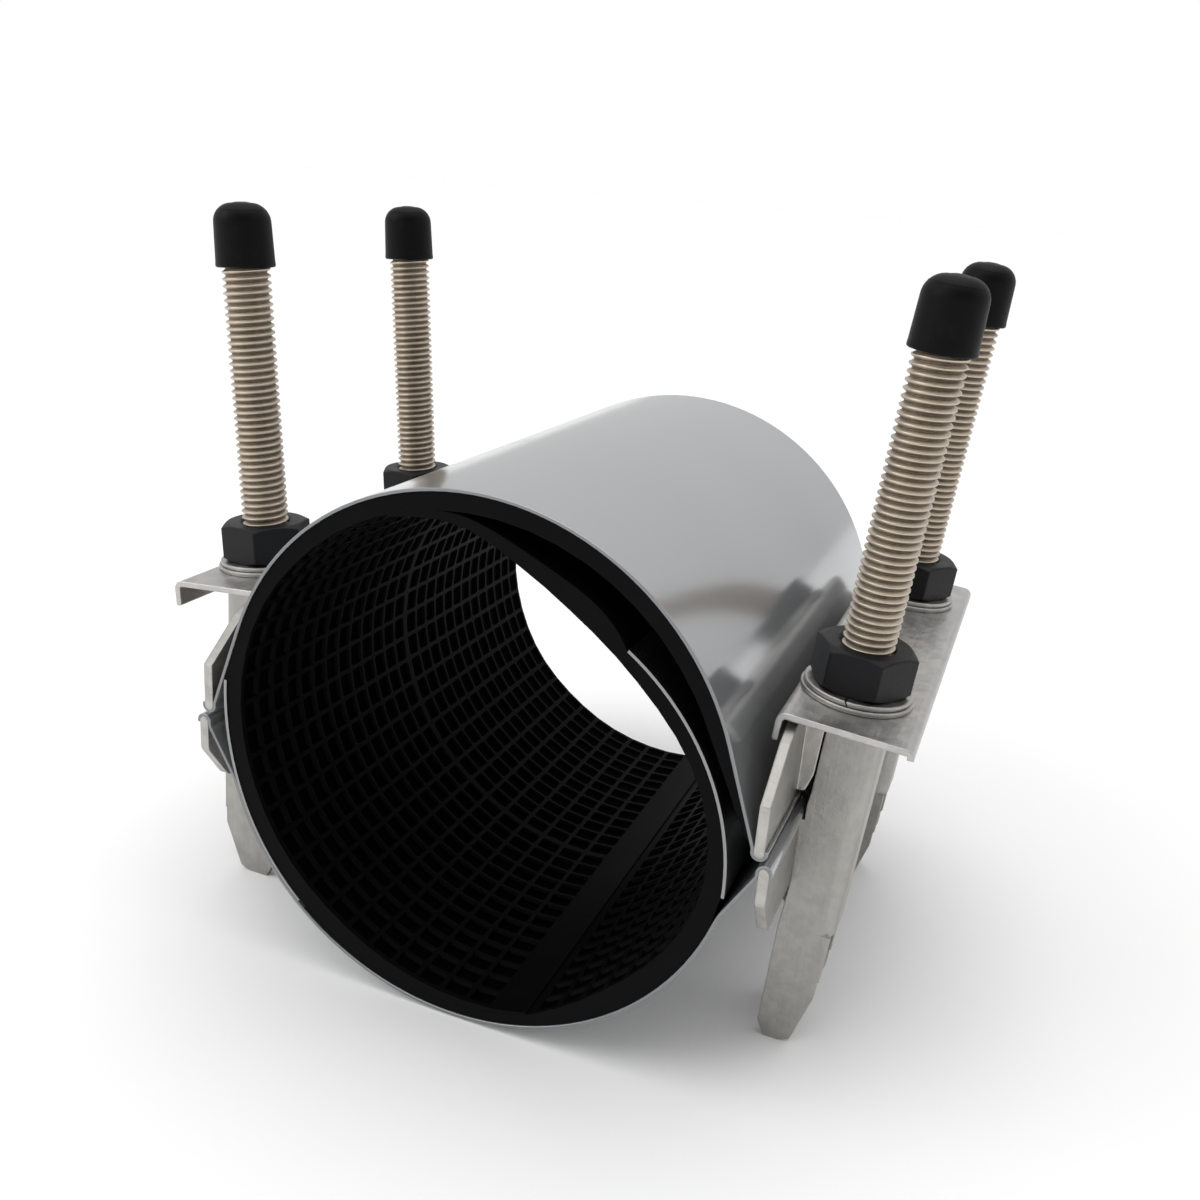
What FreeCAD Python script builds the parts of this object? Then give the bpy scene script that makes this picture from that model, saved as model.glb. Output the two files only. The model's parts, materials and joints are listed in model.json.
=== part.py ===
import FreeCAD, Part
import math
import os
from FreeCAD import Vector

# Two-half stainless repair clamp for a six inch pipe.
# Millimetres. The pipe runs along Y, +Z is up, and the origin is the middle of the bore.
# "right" is +X, "near" is -Y. The left side is the mirror of the right but for its bar.

# Shells
shell_length = 206.0
shell_thick = 1.0
upper_outer_r = 85.8
upper_centre_z = 1.6
lower_outer_r = upper_outer_r + 1.0
lower_centre_z = -0.7
seam_z = -2.8
seam_gap = 1.0
flare_angle = 30.0
flare_corner_z = -7.4
flare_blend_r = 20.0
run_corner_z = 1.3
run_bend_r = 3.0
hook_lip = 0.8

# Lug plates, one pair on each side of the seam
lug_thick = 3.0
lug_inner_x = upper_outer_r + 5.2
lower_lug_inner_x = lug_inner_x + 2.2
upper_lug_top_gap = 0.15
lug_end_z = 14.5
lug_chamfer = ((87.0, 27.0), (78.0, 30.2))
lower_lug_bottom_z = -30.0
lower_lug_end_z = -16.0
lower_lug_end_y = 93.0
lower_lug_corner_r = 4.0
slot_width = 17.0
slot_top_z = -13.0

# Studs, their caps and their lean
stud_d = 15.875
stud_x = lug_inner_x + 12.0
stud_y = 52.9
stud_tilt = 4.33
stud_top = 152.7
stud_chamfer = 1.2
stud_groove_gap = 0.6

# Cap
cap_mouth = 135.4
cap_length = 20.6
cap_outer_d = 19.4
cap_roof = 2.6
cap_edge_r = 6.0
cap_clearance = 0.05
cap_mouth_chamfer = 0.5

# Bar, in the stud's frame: across is measured along +X on both sides
bar_top = 32.8
bar_thick = 1.9
bar_half_length = 82.0
bar_flange_across = -17.4
bar_lip_across = 22.0
bar_flange_drop = 8.9
bar_flange_bend_r = 3.0
bar_lip_bend_r = 3.0
bar_hole_d = 17.5

# Washers and nuts
washer_thick = 1.6
washer_d = 34.0
upper_washer_d = 32.6
washer_hole_d = 17.0
washer_edge = 0.25
nut_flats = 27.0
nut_height = 13.2
nut_clearance = 0.06
nut_chamfer_angle = 28.0
nut_land = 0.35
nut_sink = 0.9
nut_turn = {"right_near": 56.0, "right_far": 56.0, "left_near": 9.5, "left_far": 8.0}

# Stud brackets
bracket_thick = 3.0
bracket_inner_half = 8.3
bracket_bend_r = 2.0
bracket_top = 24.5
bracket_edge = -4.7
bracket_blank_edge = -14.0
bracket_web = 12.4
bracket_step_depth = 0.9
bracket_waist_drop = 17.0
left_web_spread = 0.097
foot_spread_share = 0.75
weld_half = 3.0
weld_high = 20.0
foot_z = -lower_outer_r - 1.2
foot_inner = -1.6
foot_outer = 3.2
foot_rise = 1.5
foot_heel = 7.0
foot_corner_r = 4.0
ankle_rise = 5.0
foot_chamfer_rise = 20.0
bracket_step = foot_z + 26.0
bracket_web_end = foot_z + 43.0
stud_bottom = bracket_web_end + 3.0
weld_low = stud_bottom + 4.0
tab_top_z = -2.0
hook_clearance = 0.5

# Prongs of the upper lugs, in line with the bracket walls
prong_gap = 0.6
prong_bottom_z = 2.4
prong_tip_r = 1.5

# Rubber mats and bridge plates
mat_inset = 0.5
mat_thick = 3.9
seat_r = upper_outer_r - shell_thick - mat_thick
slip = 0.1
bridge_thick = 1.0
bridge_end_angle = 46.0
bridge_r = seat_r - 1.8
bridge_centre = (5.4, -14.5)
bridge_bottom_z = -17.0
left_bridge_top_z = 10.8
left_bridge_turn = 200.0
left_bridge_end = 227.0
left_bow_extra = 14.2

# Places on the mats, as direction in degrees and height over the seat, outwards from the pipe
mat_blunt = 1.1
mat_full_angle = 27.0
step_angle = 289.5
step_rise = 1.5
tail_tip_angle = 110.0
tail_tip_thick = 0.7
tail_touch_angle = 99.0
sag_outer = [(56.0, -8.0), (70.0, -7.3), (83.0, -4.3), (92.0, -1.2)]
sag_inner = [(106.0, -1.4), (95.0, -3.4), (85.0, -7.5), (79.0, -10.3), (70.0, -13.0),
             (61.0, -14.6), (51.5, -14.8), (39.0, -13.6), (26.7, -10.6), (16.3, -7.3),
             (6.1, -4.6), (-4.1, -2.5), (-14.0, -1.3)]
lower_inner = [(-14.0, -1.3), (-32.0, -1.6), (-50.0, -2.0), (-62.0, -0.3), (-70.5, 1.5)]
upper_inner = [(140.0, 0.0), (161.0, 0.1), (178.0, -0.6), (196.0, -1.6), (215.0, -2.1),
               (235.0, -2.6), (251.0, -1.7), (265.0, -0.7), (278.0, 0.4), (288.5, 1.0)]

# Moulded face of the mats: sunk square cells between ribs, on the stretches between two directions
cell_pitch = 16.0
cell_rib = 1.6
cell_depth = 0.95
cell_end_margin = 2.2
lower_cells = (-69.0, 98.0)
upper_cells = (34.0, 268.0)

lug_outer_x = lug_inner_x + lug_thick
lug_mid_x = lug_inner_x + lug_thick / 2
lower_lug_outer_x = lower_lug_inner_x + lug_thick
lower_lug_mid_x = lower_lug_inner_x + lug_thick / 2
edge_r = lug_thick / 2
hook_r = edge_r + shell_thick
upper_edge_z = seam_z + seam_gap / 2 + hook_r
lower_edge_z = seam_z - seam_gap / 2 - hook_r
hook_outer_x = lug_outer_x + shell_thick
lower_hook_outer_x = lower_lug_outer_x + shell_thick
upper_inner_r = upper_outer_r - shell_thick
lower_inner_r = lower_outer_r - shell_thick
half_length = shell_length / 2
mat_length = shell_length - 2 * mat_inset
stud_r = stud_d / 2
web_outer = bracket_web
web_inner = bracket_web - bracket_thick
wall_outer_half = bracket_inner_half + bracket_thick
bar_under = bar_top - bar_thick
tilt = math.radians(stud_tilt)
sides = {"right": 1, "left": -1}
ends = {"near": -1, "far": 1}

os.makedirs("parts", exist_ok=True)


def xz(x, z):
    return Vector(x, 0, z)


def polar(angle, radius, centre_z=0.0):
    a = math.radians(angle)
    return Vector(radius * math.cos(a), 0, centre_z + radius * math.sin(a))


def local(across, along):
    """Point in the right stud's frame: across is away from the pipe, along is up the stud."""
    x = stud_x + across * math.cos(tilt) + along * math.sin(tilt)
    z = along * math.cos(tilt) - across * math.sin(tilt)
    return Vector(x, 0, z)


def line(a, b):
    return Part.makeLine(a, b)


def arc(a, b, c):
    return Part.Arc(a, b, c).toShape()


def round_arc(centre, radius, start, end):
    """Arc in the XZ plane from one angle to another, in degrees."""
    points = []
    for angle in (start, (start + end) / 2, end):
        a = math.radians(angle)
        points.append(Vector(centre.x + radius * math.cos(a), 0, centre.z + radius * math.sin(a)))
    return arc(*points)


def spline(points):
    curve = Part.BSplineCurve()
    curve.interpolate(points)
    return curve.toShape()


def corner_arc(before, corner, after, radius):
    u = (before - corner).normalize()
    v = (after - corner).normalize()
    half = u.getAngle(v) / 2
    middle = corner + (u + v).normalize() * (radius / math.sin(half))
    reach = radius / math.tan(half)
    tip = middle + (corner - middle).normalize() * radius
    return corner + u * reach, tip, corner + v * reach


def run(points, radii, closed=False):
    """Edges of a line through the points, with a rounded corner where the radius isn't 0."""
    edges = []
    count = len(points)
    cuts = []
    for i in range(count):
        inner = closed or 0 < i < count - 1
        radius = radii[i] if inner else 0
        if radius:
            cuts.append(corner_arc(points[i - 1], points[i], points[(i + 1) % count], radius))
        else:
            cuts.append((points[i], None, points[i]))
    for i in range(count):
        start, tip, end = cuts[i]
        if tip is not None:
            edges.append(arc(start, tip, end))
        if i < count - 1 or closed:
            following = cuts[(i + 1) % count][0]
            if (following - end).Length > 1e-6:
                edges.append(line(end, following))
    return edges


def face_of(edges):
    return Part.Face(Part.Wire(Part.__sortEdges__(edges)))


def along_y(face, start, length):
    solid = face.copy()
    solid.translate(Vector(0, start, 0))
    return solid.extrude(Vector(0, length, 0))


def sheet(edges, thick, start, length):
    """A bent sheet: one face follows the edges, and the other lies the thickness to one side."""
    wire = Part.Wire(Part.__sortEdges__(edges))
    face = wire.makeOffset2D(thick, 0, True, True)
    return along_y(face, start, length)


def mirrored(shape):
    return shape.mirror(Vector(0, 0, 0), Vector(1, 0, 0))


def cylinder(radius, low, high, y=0.0):
    """Round bar on the right stud's axis between two heights along it."""
    base = local(0, low)
    base.y = y
    axis = Vector(math.sin(tilt), 0, math.cos(tilt))
    return Part.makeCylinder(radius, high - low, base, axis)


def save(name, shape, side=1):
    solid = shape if side > 0 else mirrored(shape)
    solid.exportStep(f"parts/{name}.step")
    FreeCAD.Console.PrintMessage(f"{name} {len(solid.Solids)} {solid.isValid()} {solid.Volume:.0f}\n")


def upper_shell_half():
    """Inner face of the upper shell's right half, from the crown to the end of its hook."""
    x = lug_inner_x
    z = run_corner_z - upper_centre_z
    leave = math.acos(upper_outer_r / math.hypot(x, z)) + math.atan2(z, x)
    leave = math.degrees(leave)
    start = polar(leave, upper_inner_r, upper_centre_z)
    down = Vector(math.sin(math.radians(leave)), 0, -math.cos(math.radians(leave)))
    inner_x = lug_inner_x - shell_thick
    corner = start + down * ((inner_x - start.x) / down.x)
    end = xz(inner_x, upper_edge_z)
    centre = xz(lug_mid_x, upper_edge_z)
    edges = [arc(polar(90, upper_inner_r, upper_centre_z),
                 polar((90 + leave) / 2, upper_inner_r, upper_centre_z), start)]
    edges += run([start, corner, end], [0, run_bend_r, 0])
    edges.append(round_arc(centre, hook_r, 180, 360))
    tip = xz(hook_outer_x, upper_edge_z)
    edges.append(line(tip, tip + Vector(0, 0, hook_lip)))
    return edges, leave, corner


def lower_shell_half():
    """Inner face of the lower shell's right half, from the bottom to the end of its hook."""
    b = math.radians(flare_angle)
    up = Vector(math.sin(b), 0, math.cos(b))
    out = Vector(math.cos(b), 0, -math.sin(b))
    middle = xz(0, lower_centre_z)
    corner = xz(lower_lug_inner_x, flare_corner_z)
    fixed = corner + out * flare_blend_r - middle
    reach = lower_outer_r + flare_blend_r
    along = -fixed.dot(up)
    shift = along + math.sqrt(along ** 2 - fixed.dot(fixed) + reach ** 2)
    centre = corner + up * shift + out * flare_blend_r
    towards = (centre - middle).normalize()
    start = middle + towards * lower_inner_r
    blend_r = flare_blend_r + shell_thick
    blend_end = centre - out * blend_r
    halfway = (start + blend_end) * 0.5
    blend_mid = centre + (halfway - centre).normalize() * blend_r
    inner_x = lower_lug_inner_x - shell_thick
    inner_corner = blend_end + up * ((inner_x - blend_end.x) / up.x)
    end = xz(inner_x, lower_edge_z)
    start_angle = math.degrees(math.atan2(start.z - lower_centre_z, start.x))
    edges = [arc(polar(-90, lower_inner_r, lower_centre_z),
                 polar((start_angle - 90) / 2, lower_inner_r, lower_centre_z), start)]
    edges.append(arc(start, blend_mid, blend_end))
    edges += run([blend_end, inner_corner, end], [0, run_bend_r, 0])
    edges.append(round_arc(xz(lower_lug_mid_x, lower_edge_z), hook_r, 180, 0))
    tip = xz(lower_hook_outer_x, lower_edge_z)
    edges.append(line(tip, tip - Vector(0, 0, hook_lip)))
    return edges, start_angle


def shell(half_edges, outwards):
    half = sheet(half_edges, outwards * shell_thick, -half_length, shell_length)
    half = stud_grooves(half)
    whole = half.fuse(mirrored(half))
    return whole.removeSplitter()


def stud_grooves(shape):
    """Cuts the hooks and lugs back where the studs pass them."""
    for y in (-stud_y, stud_y):
        shape = shape.cut(cylinder(stud_r + stud_groove_gap, stud_bottom - 1, bar_top, y))
    return shape


def upper_lug():
    top_inner = local(0, bar_under)
    lean = math.tan(tilt)
    top = top_inner.z + (top_inner.x - lug_outer_x) * lean - upper_lug_top_gap
    low = upper_edge_z
    edges = [round_arc(xz(lug_mid_x, low), edge_r, 180, 360)]
    edges += run([xz(lug_outer_x, low), xz(lug_outer_x, top), xz(lug_inner_x, top),
                  xz(lug_inner_x, low)], [0, 0, 0, 0])
    plate = along_y(face_of(edges), -half_length, shell_length)
    outline = [(half_length, low - 5), (half_length, lug_end_z)]
    outline += [lug_chamfer[0], lug_chamfer[1], (lug_chamfer[1][0] - 4, top)]
    outline += [(-y, z) for y, z in reversed(outline)]
    points = [Vector(lug_inner_x - 1, y, z) for y, z in outline]
    points.append(points[0])
    mask = Part.Face(Part.makePolygon(points)).extrude(Vector(lug_thick + 2, 0, 0))
    body = plate.common(mask)
    for y in (-stud_y, stud_y):
        for way in (-1, 1):
            wall = y + way * (bracket_inner_half + bracket_thick / 2)
            body = body.fuse(prong(top, wall))
    return body.removeSplitter()


def prong(top, y):
    """Leg on the upper lug's outer face, beside a bracket wall's edge."""
    edge = bracket_edge - prong_gap
    high = local(edge, bar_under)
    low = local(edge, 0)
    lean = (high.x - low.x) / (high.z - low.z)
    outer = xz(low.x + (top - low.z) * lean, top - (high.x - lug_outer_x) * math.tan(tilt))
    shoulder = xz(low.x + (prong_bottom_z + 6 - low.z) * lean, prong_bottom_z + 6)
    tip = xz(shoulder.x - 2.0, prong_bottom_z)
    points = [xz(lug_outer_x - 0.5, top), outer, shoulder, tip, xz(lug_outer_x - 0.5, prong_bottom_z)]
    face = face_of(run(points, [0, 0, 4, prong_tip_r, 0], closed=True))
    return along_y(face, y - bracket_thick / 2, bracket_thick)


def lower_lug():
    low = lower_lug_bottom_z
    edges = [round_arc(xz(lower_lug_mid_x, lower_edge_z), edge_r, 180, 0)]
    edges += run([xz(lower_lug_outer_x, lower_edge_z), xz(lower_lug_outer_x, low), xz(lower_lug_inner_x, low),
                  xz(lower_lug_inner_x, lower_edge_z)], [0, 0, 0, 0])
    plate = along_y(face_of(edges), -half_length, shell_length)
    x = lower_lug_inner_x - 1
    for way in (-1, 1):
        points = [Vector(x, way * half_length, lower_lug_end_z),
                  Vector(x, way * lower_lug_end_y, low),
                  Vector(x, way * (half_length + 5), low),
                  Vector(x, way * (half_length + 5), lower_lug_end_z)]
        points.append(points[0])
        corner = Part.Face(Part.makePolygon(points)).extrude(Vector(lug_thick + 2, 0, 0))
        plate = plate.cut(corner)
    for y in (-stud_y, stud_y):
        r = slot_width / 2
        roof = Part.makeCylinder(r, lug_thick + 2, Vector(x, y, slot_top_z - r), Vector(1, 0, 0))
        depth = slot_top_z - r - low + 1
        shaft = Part.makeBox(lug_thick + 2, slot_width, depth, Vector(x, y - r, low - 1))
        plate = plate.cut(roof.fuse(shaft))
    sharp = []
    for edge in plate.Edges:
        box = edge.BoundBox
        across = box.XLength > lug_thick - 0.01 and box.YLength < 0.01 and box.ZLength < 0.01
        by_slot = abs(abs(box.YMin) - stud_y) < slot_width
        outline = abs(box.ZMin - low) < 0.01 or abs(abs(box.YMin) - half_length) < 0.01
        if across and outline and not by_slot:
            sharp.append(edge)
    plate = plate.makeFillet(lower_lug_corner_r, sharp)
    return stud_grooves(plate)


def bracket(spread):
    """Bent channel round the lower end of a stud, with two flat legs under it.

    The web leaves the stud downwards by the spread, a share of the height below the top.
    """
    wall = wall_outer_half
    back = bracket_blank_edge
    outer_r = bracket_bend_r + bracket_thick
    inside = bracket_inner_half
    foot_low = foot_z - 7.0

    def at(across, y, along):
        point = local(across + spread * (bracket_top - along), along)
        point.y = y
        return point

    def upwards(start, stop):
        return at(0, 0, stop) - at(0, 0, start)

    def bend(centre_across, centre_y, radius, along):
        k = radius / math.sqrt(2)
        sign = 1 if centre_y > 0 else -1
        return (at(centre_across, centre_y + sign * radius, along),
                at(centre_across + k, centre_y + sign * k, along),
                at(centre_across + radius, centre_y, along))

    low = bracket_web_end
    across = web_outer - outer_r
    y = wall - outer_r
    a0, a1, a2 = bend(across, y, outer_r, low)
    b0, b1, b2 = bend(across, -y, outer_r, low)
    c0, c1, c2 = bend(across, y, bracket_bend_r, low)
    d0, d1, d2 = bend(across, -y, bracket_bend_r, low)
    section = [line(at(back, wall, low), a0), arc(a0, a1, a2), line(a2, b2), arc(b0, b1, b2),
               line(b0, at(back, -wall, low)), line(at(back, -wall, low), at(back, -inside, low)),
               line(at(back, -inside, low), d0), arc(d0, d1, d2), line(d2, c2), arc(c0, c1, c2),
               line(c0, at(back, inside, low)), line(at(back, inside, low), at(back, wall, low))]
    channel = face_of(section).extrude(upwards(low, bracket_top + 2))
    legs = []
    for way in (-1, 1):
        y0 = way * inside
        y1 = way * wall
        edge = web_outer - bracket_step_depth
        points = [at(back, y0, foot_low), at(edge, y0, foot_low),
                  at(edge, y1, foot_low), at(back, y1, foot_low)]
        points.append(points[0])
        leg = Part.Face(Part.makePolygon(points)).extrude(upwards(foot_low, low))
        legs.append(leg)
    body = channel.fuse(legs).common(bracket_side(spread))
    points = []
    for x, y in ((web_inner + 0.5, -weld_half), (web_inner + 0.5, weld_half), (0, weld_half),
                 (0, -weld_half), (web_inner + 0.5, -weld_half)):
        points.append(at(x, y, weld_low))
    bead = Part.Face(Part.makePolygon(points)).extrude(upwards(weld_low, weld_high))
    bead = bead.cut(cylinder(stud_r, stud_bottom, bracket_top + 5))
    return body.fuse(bead).removeSplitter()


def on_foot(across):
    along = (foot_z + across * math.sin(tilt)) / math.cos(tilt)
    return local(across, along)


def bracket_side(spread):
    """Side outline of a bracket: its inner edge runs clear of the hooks and meets the lower lug."""

    def out(across, along):
        return local(across + spread * (bracket_top - along), along)

    def half_out(across, along):
        return local(across + spread / 2 * (bracket_top - along), along)

    drop = bracket_top - foot_z
    foot_spread = foot_spread_share * spread * drop
    narrow = web_outer - 1.5 * bracket_step_depth
    clear_x = lower_hook_outer_x + hook_clearance
    hook_end = lower_edge_z - hook_lip - hook_clearance
    points = [local(web_outer + 1, bracket_top), local(bracket_edge, bracket_top),
              local(bracket_edge, 2.0), xz(clear_x, tab_top_z), xz(clear_x, hook_end),
              xz(lower_lug_outer_x, hook_end), xz(lower_lug_outer_x, lower_lug_bottom_z - 0.5),
              local(bracket_edge - 0.4, lower_lug_bottom_z - bracket_waist_drop),
              half_out(bracket_edge + 0.3, foot_z + ankle_rise),
              on_foot(foot_inner + spread / 2 * drop), on_foot(foot_outer + foot_spread),
              on_foot(foot_heel + foot_spread) + Vector(0, 0, foot_rise),
              out(narrow, foot_z + foot_chamfer_rise), out(narrow, bracket_step),
              out(web_outer + 1, bracket_step + 1.0)]
    radii = [0, 0, 2.0, 2.0, 0, 0, 2.0, 6.0, foot_corner_r, 1.0, 1.5, 1.5, 1.5, 0, 0]
    return along_y(face_of(run(points, radii, closed=True)), -wall_outer_half - 1,
                   2 * wall_outer_half + 2)


def stud():
    body = cylinder(stud_r, stud_bottom, stud_top)
    rims = [e for e in body.Edges if e.Length > 2 * stud_r and isinstance(e.Curve, Part.Circle)]
    return body.makeChamfer(stud_chamfer, rims)


def bar(flip):
    """Channel-edged bar. Both sides use it the same way round, so the left one is flipped."""
    way = -1 if flip else 1

    def at(across, along):
        return local(way * across, along)

    flange_low = bar_top - bar_flange_drop
    r = bar_flange_bend_r
    t = bar_thick
    lip_r = bar_lip_bend_r
    edge = bar_flange_across
    lip = bar_lip_across
    lip_low = bar_top - lip_r
    points = [at(edge, flange_low), at(edge, bar_top), at(lip, bar_top), at(lip, lip_low),
              at(lip - t, lip_low), at(lip - t, bar_under), at(edge + t, bar_under),
              at(edge + t, flange_low)]
    radii = [0.6, r, lip_r - 0.05, 0, 0, 0.4, r - t, 0.6]
    body = along_y(face_of(run(points, radii, closed=True)), -bar_half_length,
                   2 * bar_half_length)
    for y in (-stud_y, stud_y):
        body = body.cut(cylinder(bar_hole_d / 2, bar_under - 6, bar_top + 6, y))
    return body


def washer(diameter, low):
    ring = cylinder(diameter / 2, low, low + washer_thick)
    rims = [e for e in ring.Edges if isinstance(e.Curve, Part.Circle)]
    ring = ring.makeChamfer(washer_edge, rims)
    return ring.cut(cylinder(washer_hole_d / 2, low - 1, low + washer_thick + 1))


def nut(turn):
    low = bar_top + 2 * washer_thick
    radius = nut_flats / math.sqrt(3)
    axis = Vector(math.sin(tilt), 0, math.cos(tilt))
    points = []
    for i in range(7):
        a = math.radians(60 * i + turn)
        point = local(radius * math.cos(a), low)
        point.y = radius * math.sin(a)
        points.append(point)
    body = Part.Face(Part.makePolygon(points)).extrude(axis * nut_height)
    slope = math.tan(math.radians(nut_chamfer_angle))
    face_r = nut_flats / 2 - nut_land
    rise = (radius + 1 - face_r) * slope
    base = local(0, low)
    lower_cone = Part.makeCone(face_r, radius + 1, rise, base, axis)
    middle = cylinder(radius + 1, low + rise, low + nut_height - rise)
    upper_cone = Part.makeCone(radius + 1, face_r, rise, base + axis * (nut_height - rise), axis)
    body = body.common(lower_cone.fuse([middle, upper_cone]))
    bore_r = stud_r + nut_clearance
    body = body.cut(cylinder(bore_r, low - 1, low + nut_height + 1))
    for height, way in ((low, 1), (low + nut_height, -1)):
        wide = bore_r + nut_sink
        if way > 0:
            sink = Part.makeCone(wide, bore_r, nut_sink, local(0, height), axis)
        else:
            sink = Part.makeCone(bore_r, wide, nut_sink, local(0, height - nut_sink), axis)
        body = body.cut(sink)
    return body


def cap():
    high = cap_mouth + cap_length
    body = cylinder(cap_outer_d / 2, cap_mouth, high)
    rims = [e for e in body.Edges if isinstance(e.Curve, Part.Circle)]
    top = local(0, high)
    mouth = local(0, cap_mouth)
    upper = [e for e in rims if (e.Curve.Center - top).Length < 0.1]
    body = body.makeFillet(cap_edge_r, upper)
    lower = [e for e in body.Edges if isinstance(e.Curve, Part.Circle)
             and (e.Curve.Center - mouth).Length < 0.1]
    body = body.makeChamfer(cap_mouth_chamfer, lower)
    bore_r = stud_r + cap_clearance
    body = body.cut(cylinder(bore_r, cap_mouth - 1, high - cap_roof))
    return body


def bridge_curve(radius, start_z, end_angle):
    """Arc of the right bridge plate from its lower end to the direction where it stops."""
    cx, cz = bridge_centre
    low = math.degrees(math.asin((start_z - cz) / radius))
    target = math.radians(end_angle)
    k = cx * math.cos(target) + cz * math.sin(target)
    reach = k + math.sqrt(k ** 2 - cx ** 2 - cz ** 2 + radius ** 2)
    end = Vector(reach * math.cos(target), 0, reach * math.sin(target))
    high = math.degrees(math.atan2(end.z - cz, end.x - cx))
    return xz(cx, cz), low, high


def bridge_right():
    centre, low, high = bridge_curve(bridge_r, bridge_bottom_z, bridge_end_angle)
    inner = bridge_r - bridge_thick
    k_low = math.radians(low)
    k_high = math.radians(high)
    corners = []
    for radius in (bridge_r, inner):
        pair = []
        for a in (k_low, k_high):
            pair.append(xz(centre.x + radius * math.cos(a), centre.z + radius * math.sin(a)))
        corners.append(pair)
    edges = [round_arc(centre, bridge_r, low, high), round_arc(centre, inner, low, high),
             line(corners[0][0], corners[1][0]), line(corners[0][1], corners[1][1])]
    return along_y(face_of(edges), -half_length, shell_length), corners[1], centre, low, high


def left_bow(inset):
    """Two arcs up the left side, from the bridge plate's lower end to its top, and their ends."""
    low_centre = xz(0, lower_centre_z)
    a = math.radians(left_bridge_turn)
    turn = polar(left_bridge_turn, lower_inner_r, lower_centre_z)
    bow_r = lower_inner_r + left_bow_extra
    high_centre = turn - Vector(math.cos(a), 0, math.sin(a)) * bow_r
    radius = bow_r - inset
    rise = left_bridge_top_z - high_centre.z
    top_angle = 180 - math.degrees(math.asin(rise / radius))
    edges = [round_arc(low_centre, lower_inner_r - inset, left_bridge_end, left_bridge_turn),
             round_arc(high_centre, radius, left_bridge_turn, top_angle)]
    low = polar(left_bridge_end, lower_inner_r - inset, lower_centre_z)
    k = math.radians(top_angle)
    high = high_centre + Vector(math.cos(k), 0, math.sin(k)) * radius
    return edges, low, high


def bridge_left():
    outer, outer_low, outer_high = left_bow(slip)
    inner, inner_low, inner_high = left_bow(slip + bridge_thick)
    edges = outer + inner + [line(outer_low, inner_low), line(outer_high, inner_high)]
    return along_y(face_of(edges), -half_length, shell_length)


def places(pairs):
    return [polar(angle, seat_r + rise) for angle, rise in pairs]


def sunk_cells(mat, inner_edges, low, high):
    """Sinks the moulded cells into a mat's inner face, between two directions."""
    path = Part.Wire(Part.__sortEdges__(inner_edges)).discretize(Distance=0.2)
    faced = []
    for point in path:
        angle = math.degrees(math.atan2(point.z, point.x))
        if (angle - low) % 360 < high - low:
            faced.append(point)
    reach = [0.0]
    for a, b in zip(faced, faced[1:]):
        reach.append(reach[-1] + (b - a).Length)
    across = round(reach[-1] / cell_pitch)
    width = reach[-1] / across
    moulded = mat_length - 2 * cell_end_margin
    rows = 2 * round(moulded / cell_pitch / 2)
    length = moulded / rows
    tools = []
    for k in range(across):
        ends_of_cell = []
        for goal in (k * width + cell_rib / 2, (k + 1) * width - cell_rib / 2):
            ends_of_cell.append(next(p for p, r in zip(faced, reach) if r >= goal))
        a, b = ends_of_cell
        t = (b - a).normalize()
        into = Vector(t.z, 0, -t.x)
        if into.dot(a) < 0:
            into = into * -1
        corners = [a - into, b - into, b + into * cell_depth, a + into * cell_depth, a - into]
        face = Part.Face(Part.makePolygon(corners))
        for row in range(rows):
            start = cell_end_margin - mat_length / 2 + row * length + cell_rib / 2
            tools.append(along_y(face, start, length - cell_rib))
    return mat.cut(Part.makeCompound(tools))


def lower_mat(shell_start, plate_inner, centre, low, high):
    """Lower mat: thin under the other mat's tail on the left, sagging loose tail on the right."""
    zc = lower_centre_z
    outer_r = lower_inner_r
    thin_angle = left_bridge_end + 2.0
    meet = shell_start - 1.5
    thin_out = polar(thin_angle, outer_r, zc)
    thin_in = polar(thin_angle, outer_r - mat_blunt, zc)
    step = polar(step_angle, seat_r + step_rise)
    step_local = (step - xz(0, zc)).Length
    middle_angle = (thin_angle + step_angle) / 2
    middle = polar(middle_angle, (outer_r - mat_blunt + step_local) / 2, zc)
    right = polar(meet, outer_r, zc)
    inner_r = bridge_r - bridge_thick
    edges = [arc(thin_out, polar((thin_angle + 360 + meet) / 2, outer_r, zc), right),
             line(right, plate_inner[0]), round_arc(centre, inner_r, low, high)]
    touch = seat_r - slip
    landing = polar(tail_touch_angle, touch)
    edges.append(spline([plate_inner[1]] + places(sag_outer) + [landing]))
    edges.append(arc(landing, polar((tail_touch_angle + tail_tip_angle) / 2, touch),
                     polar(tail_tip_angle, touch)))
    tip = polar(tail_tip_angle, touch - tail_tip_thick)
    edges.append(line(polar(tail_tip_angle, touch), tip))
    inner_edges = [spline([tip] + places(sag_inner)), spline(places(lower_inner))]
    edges += inner_edges
    edges.append(arc(step, middle, thin_in))
    edges.append(line(thin_in, thin_out))
    solid = along_y(face_of(edges), -half_length + mat_inset, mat_length)
    return sunk_cells(solid, inner_edges, *lower_cells), thin_in, middle, step


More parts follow.
